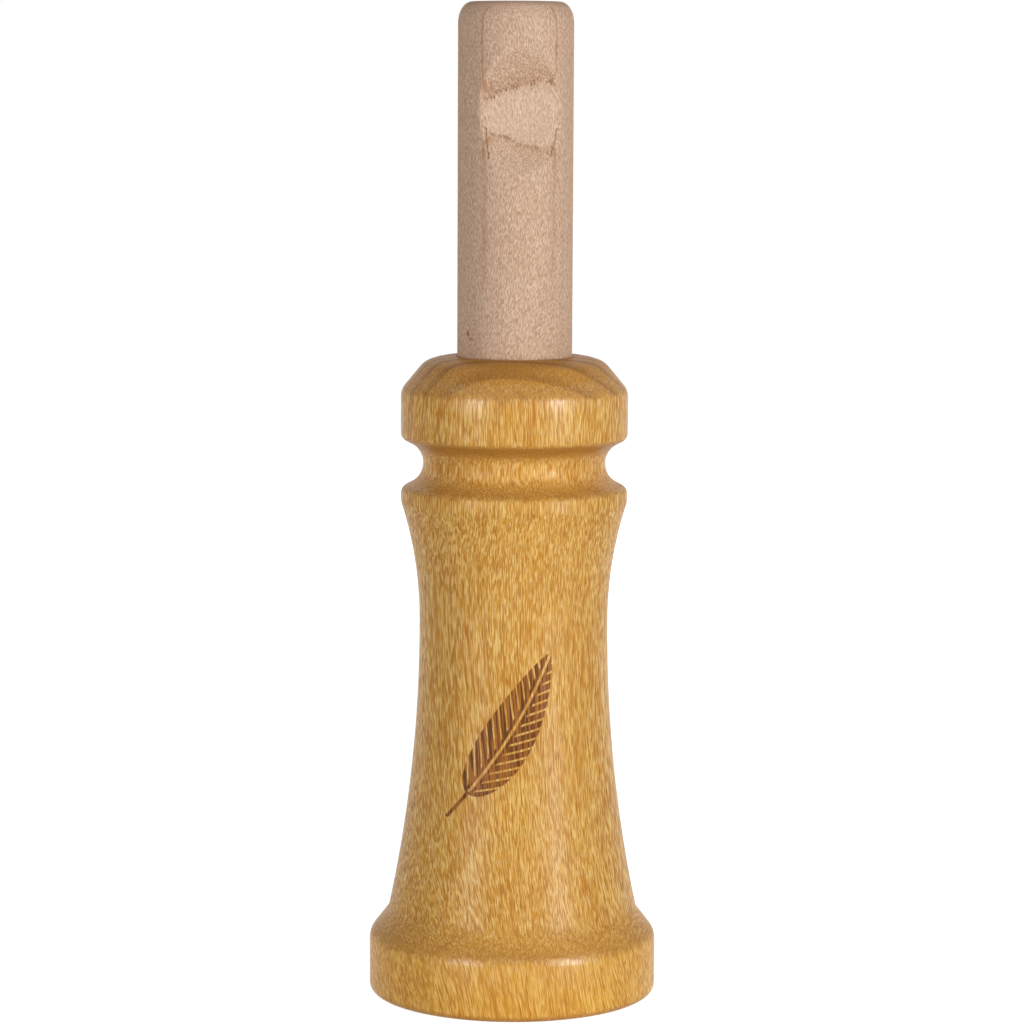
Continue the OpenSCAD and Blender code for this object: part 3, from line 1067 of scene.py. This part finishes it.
@dataclass
class LipCap:
    """The front half of the split dowel, carved again with its worn lip notch.

    The rest of its shape is the solid's own, with its sizes read from the frame.
    """

    finish: Material
    mouth_round_r: float = 1.92
    mouth_round_h: float = 2.88
    mouth_rows: int = 12
    seat_round: float = 0.4
    seat_rows: int = 6
    socket_z: float = 80.0
    seam_edge: float = 0.1
    side_columns: int = 18
    front_columns: int = 128
    front_turn: float = math.radians(47)
    fine_step: float = 0.1
    mouth_step: float = 1.0
    long_step: float = 2.5
    cut_over: float = 1.0 * MM
    groove_gap: float = 0.05 * MM
    peg_gap: float = 0.02 * MM
    peg_over: float = 0.1 * MM
    notch: LipNotch = field(default_factory=LipNotch)

    def __post_init__(self) -> None:
        """Reads the dowel's ends and radius from the frame, in millimetres."""
        low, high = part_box("lip_cap")
        self.radius = high.x / MM
        self.seat_z = low.z / MM
        self.mouth_z = high.z / MM

    def rows(self) -> list[float]:
        """Returns the heights of the rows of points, close together over the notch."""
        turns = [math.radians(90 / self.seat_rows * i) for i in range(self.seat_rows)]
        rows = [self.seat_z + self.seat_round * (1 - math.cos(a)) for a in turns]
        rows.append(self.seat_z + self.seat_round)
        reach = self.notch.reach(self.radius) + 0.3
        stretches = (
            (self.socket_z, self.long_step),
            (self.notch.middle_z - reach, self.long_step),
            (self.notch.middle_z + reach, self.fine_step),
            (self.mouth_z - self.mouth_round_h, self.mouth_step),
        )
        for top, step in stretches:
            start = rows[-1]
            count = max(1, round((top - start) / step))
            rows += [start + (top - start) * (i + 1) / count for i in range(count)]
        turns = [math.radians(90 / self.mouth_rows * (i + 1)) for i in range(self.mouth_rows)]
        return rows + [self.mouth_z - self.mouth_round_h * (1 - math.sin(a)) for a in turns]

    def round_at(self, z: float) -> float:
        """Returns the dowel's radius at a height, less at its rounded ends."""
        rise = (z - self.mouth_z) / self.mouth_round_h + 1
        if rise > 0:
            return self.radius - self.mouth_round_r * (1 - math.sqrt(max(0.0, 1 - rise * rise)))
        up = self.seat_z + self.seat_round - z
        if up > 0:
            return self.radius - self.seat_round + math.sqrt(max(0.0, self.seat_round**2 - up**2))
        return self.radius

    def angles(self) -> list[float]:
        """Returns the angles round the front half from left to right, fine over the notch."""
        turn, rest = self.front_turn, math.pi / 2 - self.front_turn
        side = [turn + rest * i / self.side_columns for i in range(1, self.side_columns + 1)]
        front = [turn * (2 * i / self.front_columns - 1) for i in range(self.front_columns + 1)]
        return [-a for a in side[::-1]] + front + side

    def skin(self, angle: float, z: float) -> tuple[float, Marks]:
        """Finds the surface in one direction.

        Args:
            angle: The direction from the axis, 0 at the front and positive to the right.
            z: The height, in millimetres.

        Returns:
            The distance from the axis in millimetres and the wood's marks.
        """
        round_r = self.round_at(z)
        if abs(angle) > self.front_turn:
            return round_r, UNMARKED
        drum = self.notch.drum(z) / math.cos(angle)
        base = soft_least(round_r, drum, self.notch.edge)
        depth, marks = self.notch.relief(base * math.sin(angle), z, round_r - drum)
        return base - depth, marks

    def shell(self) -> Piece:
        """Makes the closed half dowel, before its airway, grooves and peg holes.

        Returns:
            The half dowel, with attributes that say where its front is torn, burnished with a
            painted sheen, in painted shade, or split.
        """
        heights, angles = self.rows(), self.angles()
        points, marks = [], []
        for z in heights:
            end = self.round_at(z) - self.seam_edge
            row = [(-end, 0.0)]
            marks.append(UNMARKED)
            for angle in angles:
                distance, mark = self.skin(angle, z)
                across, out = distance * math.sin(angle), distance * math.cos(angle)
                row.append((across, -max(self.seam_edge, out)))
                marks.append(mark)
            row.append((end, 0.0))
            marks.append(UNMARKED)
            points += [(x * MM, y * MM, z * MM) for x, y in row]
        piece = new_piece("carved_lip_cap", points, skin_faces(len(heights), len(angles) + 2))
        for name, values in zip(MARK_NAMES, zip(*marks)):
            piece.data.attributes.new(name, "FLOAT", "POINT").data.foreach_set("value", values)
        face_outwards(piece)
        return piece

    def cutters(self) -> list[Piece]:
        """Makes what the airway, the ring grooves and the peg holes take away.

        Returns:
            Closed pieces to cut with, sized from the boxes of what lies in the cuts.
        """
        over, gap = self.cut_over, self.groove_gap
        low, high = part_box("reed_wedge")
        cuts = [box_piece("cut_airway", low, (high.x, over, self.mouth_z * MM + over))]
        for name in ("lower_o_ring", "upper_o_ring"):
            low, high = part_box(name)
            section = (high.z - low.z) / 2
            inner, outer = self.radius * MM - 2 * section - gap, self.radius * MM + over
            cuts.append(band_piece("cut_" + name, inner, outer, low.z - gap, high.z + gap))
        low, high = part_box("locating_pegs")
        peg_r = (high.z - low.z) / 2
        for side in (-1, 1):
            middle = Vector((side * (high.x - peg_r), 0.0, (low.z + high.z) / 2))
            cuts.append(
                rod_piece("cut_peg", middle, peg_r + self.peg_gap, high.y + self.peg_over)
            )
        return cuts

    def build(self) -> Piece:
        """Carves the half and puts it in the frame.

        Returns:
            The finished piece.
        """
        piece = self.shell()
        cuts = self.cutters()
        for cut in cuts:
            face_outwards(cut)
            modifier = piece.modifiers.new(cut.name, "BOOLEAN")
            modifier.operation, modifier.solver, modifier.object = "DIFFERENCE", "EXACT", cut
        settle(piece, math.radians(60))
        for cut in cuts:
            bpy.data.objects.remove(cut)
        piece.data.materials.clear()
        dress(piece, self.finish)
        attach(piece, "insert")
        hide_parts("lip_cap")
        log.info("carved_lip_cap: %d faces", len(piece.data.polygons))
        return piece


def skin_faces(rows: int, width: int) -> list[tuple[int, ...]]:
    """Lists the faces of a closed skin over rows of points, each of which is a closed loop.

    Args:
        rows: How many rows there are.
        width: How many points each row has.

    Returns:
        The faces, with the first and the last row closed by one face each.
    """
    faces = []
    for r in range(rows - 1):
        for c in range(width):
            a, b = r * width + c, r * width + (c + 1) % width
            faces.append((a, b, b + width, a + width))
    last = (rows - 1) * width
    return faces + [tuple(range(width))[::-1], tuple(range(last, last + width))]


def box_piece(name: str, low: Point, high: Point) -> Piece:
    """Makes a plain box between two corners, to cut with."""
    xs, ys, zs = zip(low, high)
    points = [(x, y, z) for x in xs for y in ys for z in zs]
    faces = [(0, 1, 3, 2), (4, 6, 7, 5), (0, 4, 5, 1), (2, 3, 7, 6), (0, 2, 6, 4), (1, 5, 7, 3)]
    return new_piece(name, points, faces)


def band_piece(name: str, inner: float, outer: float, low: float, high: float) -> Piece:
    """Makes a square-edged band round the axis, to cut a groove with."""
    sides = 160
    corners = ((inner, low), (outer, low), (outer, high), (inner, high))
    points, faces = [], []
    for i in range(sides):
        angle = math.tau * i / sides
        points += [(r * math.cos(angle), r * math.sin(angle), z) for r, z in corners]
        here, onward = 4 * i, 4 * ((i + 1) % sides)
        for a, b in ((0, 1), (1, 2), (2, 3), (3, 0)):
            faces.append((here + a, onward + a, onward + b, here + b))
    return new_piece(name, points, faces)


def rod_piece(name: str, middle: Vector, radius: float, reach: float) -> Piece:
    """Makes a rod along Y, to cut a peg hole with."""
    sides = 40
    points = []
    for y in (-reach, reach):
        for i in range(sides):
            a = math.tau * i / sides
            points.append((middle.x + radius * math.cos(a), y, middle.z + radius * math.sin(a)))
    return new_piece(name, points, skin_faces(2, sides))


@dataclass
class Mouthpiece:
    """The split dowel: its carved front half, its back half and what lies between them."""

    maple: Material

    def build(self) -> None:
        """Carves the front half and finishes the other pieces."""
        LipCap(self.maple).build()
        rubber = DullRubber().build()
        for node, material in (
            ("tone_board", self.maple),
            ("reed", MilkyFilm().build()),
            ("reed_wedge", PressedCork().build()),
            ("locating_pegs", PegWood().build()),
            ("upper_o_ring", rubber),
            ("lower_o_ring", rubber),
        ):
            dress_node(node, material)


@dataclass
class Studio:
    """The white floor and backdrop, three soft lamps and the camera.

    A lamp is its azimuth from the camera, its height in degrees, its distance, width and height in
    metres, and its power in watts.
    """

    lens: float = 128.3
    distance: float = 500.8 * MM
    eye_z: float = 126.15 * MM
    eye_x: float = -0.27 * MM
    pitch: float = math.radians(6.71)
    roll: float = math.radians(0.25)
    floor_size: float = 6.0
    ambient: float = 0.09
    glow_near: float = 0.93
    glow_far: float = 1.0
    glow_step: Step = (0.12, 0.9)
    paper: Colour = (0.32, 0.32, 0.32)
    plain: Colour = (0.8, 0.8, 0.8)
    aim: Point = (0.0, 0.0, 0.06)
    lamps: dict[Light, tuple[float, float, float, float, float, float]] = field(
        default_factory=lambda: {
            Light.KEY: (46.0, 9.0, 0.66, 0.17, 0.42, 3.27),
            Light.FILL: (-39.5, 9.0, 0.66, 0.20, 0.40, 1.87),
            Light.BACK: (180.0, 14.0, 0.66, 0.24, 0.30, 1.8),
        }
    )

    def camera(self) -> None:
        """Sets the camera where the photograph was taken from."""
        data = bpy.data.cameras.new("photo_view")
        data.lens = self.lens
        data.sensor_width = 36.0
        data.clip_start = 0.01
        camera = bpy.data.objects.new("photo_view", data)
        camera.matrix_world = (
            Matrix.Rotation(VIEW_TURN, 4, "Z")
            @ Matrix.Translation((self.eye_x, -self.distance, self.eye_z))
            @ Matrix.Rotation(math.pi / 2 - self.pitch, 4, "X")
            @ Matrix.Rotation(self.roll, 4, "Z")
        )
        bpy.context.scene.collection.objects.link(camera)
        bpy.context.scene.camera = camera

    def lamp(self, light: Light) -> None:
        """Hangs one soft lamp, aimed at the middle of the call. The back one leaves no glare."""
        azimuth, lift, away, width, height, power = self.lamps[light]
        data = bpy.data.lights.new(light.value, "AREA")
        data.shape = "RECTANGLE"
        data.size, data.size_y = width, height
        data.energy = power
        lamp = bpy.data.objects.new(light.value, data)
        a, e = math.radians(azimuth) + VIEW_TURN, math.radians(lift)
        back = Vector((math.sin(a) * math.cos(e), -math.cos(a) * math.cos(e), math.sin(e)))
        lamp.location = Vector(self.aim) + back * away
        lamp.rotation_mode = "QUATERNION"
        lamp.rotation_quaternion = (-back).to_track_quat("-Z", "Y")
        lamp.visible_glossy = light is not Light.BACK
        bpy.context.scene.collection.objects.link(lamp)

    def world(self) -> None:
        """Lights the call evenly and shows a white backdrop."""
        world = bpy.data.worlds.new("white_room")
        bpy.context.scene.world = world
        world.use_nodes = True
        world.node_tree.nodes.clear()
        bench = Bench(world.node_tree)
        strength = self.ambient + self._seen(bench) * (1.0 - self.ambient)
        inputs = {"Color": (1, 1, 1, 1), "Strength": strength}
        bench.finish("ShaderNodeOutputWorld", bench.node("ShaderNodeBackground", None, inputs))

    @staticmethod
    def _seen(bench: Bench) -> Wire:
        """Returns 1 for rays that show the background: to the camera, and in gloss and glass."""
        ray = bench.tree.nodes.new("ShaderNodeLightPath")
        kinds = ("Is Camera Ray", "Is Glossy Ray", "Is Transmission Ray")
        first, second, third = (Wire(bench, ray.outputs[kind]) for kind in kinds)
        return (first + second + third).least(1.0)

    def floor(self) -> None:
        """Lays a white floor that keeps the call's soft shadow."""
        reach = self.floor_size / 2
        corners = [(-reach, -reach, 0), (reach, -reach, 0), (reach, reach, 0), (-reach, reach, 0)]
        floor = new_piece("floor", corners, [(0, 1, 2, 3)])
        material, bench = new_material("white_floor")
        paper = bench.node("ShaderNodeBsdfDiffuse", None, {"Color": (*self.paper, 1.0)})
        away = bench.vector("LENGTH", bench.node("ShaderNodeTexCoord", output="Object"))
        away = Wire(bench, away.socket.node.outputs["Value"])
        level = self.glow_near + away.rise(*self.glow_step) * (self.glow_far - self.glow_near)
        glow = bench.node("ShaderNodeEmission", None, {"Color": (1, 1, 1, 1), "Strength": level})
        shown = bench.node("ShaderNodeAddShader", None, {0: paper, 1: glow})
        plain = bench.node("ShaderNodeBsdfDiffuse", None, {"Color": (*self.plain, 1.0)})
        both = bench.node("ShaderNodeMixShader", None, {0: self._seen(bench), 1: plain, 2: shown})
        bench.finish("ShaderNodeOutputMaterial", both)
        floor.data.materials.append(material)

    def build(self) -> None:
        """Sets up the whole studio."""
        scene = bpy.context.scene
        scene.view_settings.view_transform = "Standard"
        self.camera()
        self.world()
        self.floor()
        for light in Light:
            self.lamp(light)
        log.info("studio: %d lamps, lens %.1f mm", len(self.lamps), self.lens)


def main() -> None:
    """Builds the studio and the call in order."""
    logging.basicConfig(level=logging.INFO, format="%(name)s: %(message)s")
    Studio().build()
    Barrel(LacqueredWood().build()).build()
    Mouthpiece(RawMaple().build()).build()


if __name__ == "__main__":
    main()
